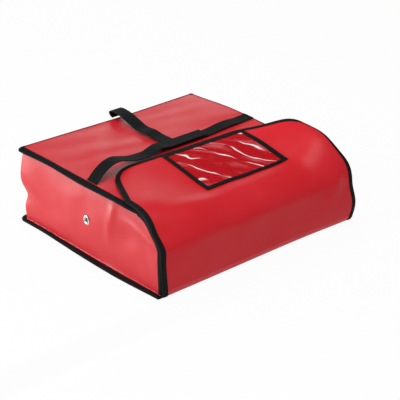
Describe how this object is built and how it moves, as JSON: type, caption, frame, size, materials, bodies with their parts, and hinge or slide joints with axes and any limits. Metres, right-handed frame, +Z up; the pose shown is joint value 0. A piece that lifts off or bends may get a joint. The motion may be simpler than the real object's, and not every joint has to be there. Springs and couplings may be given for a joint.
{
  "type": "pizza delivery bag",
  "caption": "Insulated bag for pizza boxes: padded vinyl shell with taped seams, a roll-over front flap with a rounded lip and clear ticket window, and a webbing handle joined in a T.",
  "frame": {"origin": "on the floor under the middle of the bag's outline", "axes": "+X from left to right across the flap, +Y from the flap at the front to the back wall, +Z up"},
  "size_m": [0.5176, 0.4843, 0.1781],
  "materials": {
    "vinyl": "satin",
    "tape": "matte",
    "webbing": "matte",
    "padding": "matte",
    "liner": "satin",
    "film": "gloss",
    "hook": "matte",
    "eyelet": "gloss"
  },
  "bodies": {
    "shell": {"bottom_panel": "vinyl", "bottom_insulation": "padding", "bottom_liner": "liner", "bottom_binding": "tape", "side_and_back_panel": "vinyl", "side_and_back_liner": "liner", "left_insulation": "padding", "right_insulation": "padding", "back_insulation": "padding", "left_wall_binding": "tape", "right_wall_binding": "tape", "top_panel": "vinyl", "top_insulation": "padding", "top_liner": "liner", "top_binding": "tape", "top_panel_front_binding": "tape", "loop_strip": "hook", "left_eyelet": "eyelet", "left_eyelet_washer": "eyelet", "right_eyelet": "eyelet", "right_eyelet_washer": "eyelet"},
    "flap_front": {"flap_panel": "vinyl", "flap_insulation": "padding", "flap_liner": "liner", "flap_left_binding": "tape", "flap_right_binding": "tape"},
    "flap_lip": {"lip_panel": "vinyl", "lip_insulation": "padding", "lip_liner": "liner", "lip_binding": "tape", "window_film": "film", "window_left_binding": "tape", "window_right_binding": "tape", "window_front_binding": "tape", "window_mouth_hem": "tape", "hook_strip": "hook"},
    "left_arm": {"left_strap": "webbing"},
    "right_arm": {"right_strap": "webbing"},
    "back_arm": {"back_strap": "webbing"},
    "handle_grip": {"grip_under_strap": "webbing", "grip_over_strap": "webbing", "grip_back_tab": "webbing"}
  },
  "joints": [
    {"name": "front_fold", "type": "hinge", "parent": "shell", "child": "flap_front", "pos_m": [0, -0.23875, 0.00215], "axis": [1, 0, 0], "range_deg": [0, 90]},
    {"name": "lip_roll", "type": "hinge", "parent": "flap_front", "child": "flap_lip", "pos_m": [0, -0.22695, 0.14415], "axis": [1, 0, 0], "range_deg": [0, 90]},
    {"name": "grip_lift", "type": "slide", "parent": "shell", "child": "handle_grip", "axis": [0, 0, 1], "range_m": [0, 0.045]},
    {"name": "left_strap_root", "type": "hinge", "parent": "shell", "child": "left_arm", "pos_m": [-0.2271, 0.01, 0.1511], "axis": [0, -1, 0], "range_deg": [0, 12.93]},
    {"name": "right_strap_root", "type": "hinge", "parent": "shell", "child": "right_arm", "pos_m": [0.2271, 0.04, 0.1511], "axis": [0, 1, 0], "range_deg": [0, 20.84]},
    {"name": "back_strap_root", "type": "hinge", "parent": "shell", "child": "back_arm", "pos_m": [0.015, 0.226, 0.1511], "axis": [-1, 0, 0], "range_deg": [0, 24.51]}
  ],
  "couplings": [
    {"joint": "left_strap_root", "follows": "grip_lift", "rad_per_m": 4.9974},
    {"joint": "right_strap_root", "follows": "grip_lift", "rad_per_m": 8.0621},
    {"joint": "back_strap_root", "follows": "grip_lift", "rad_per_m": 9.485}
  ]
}
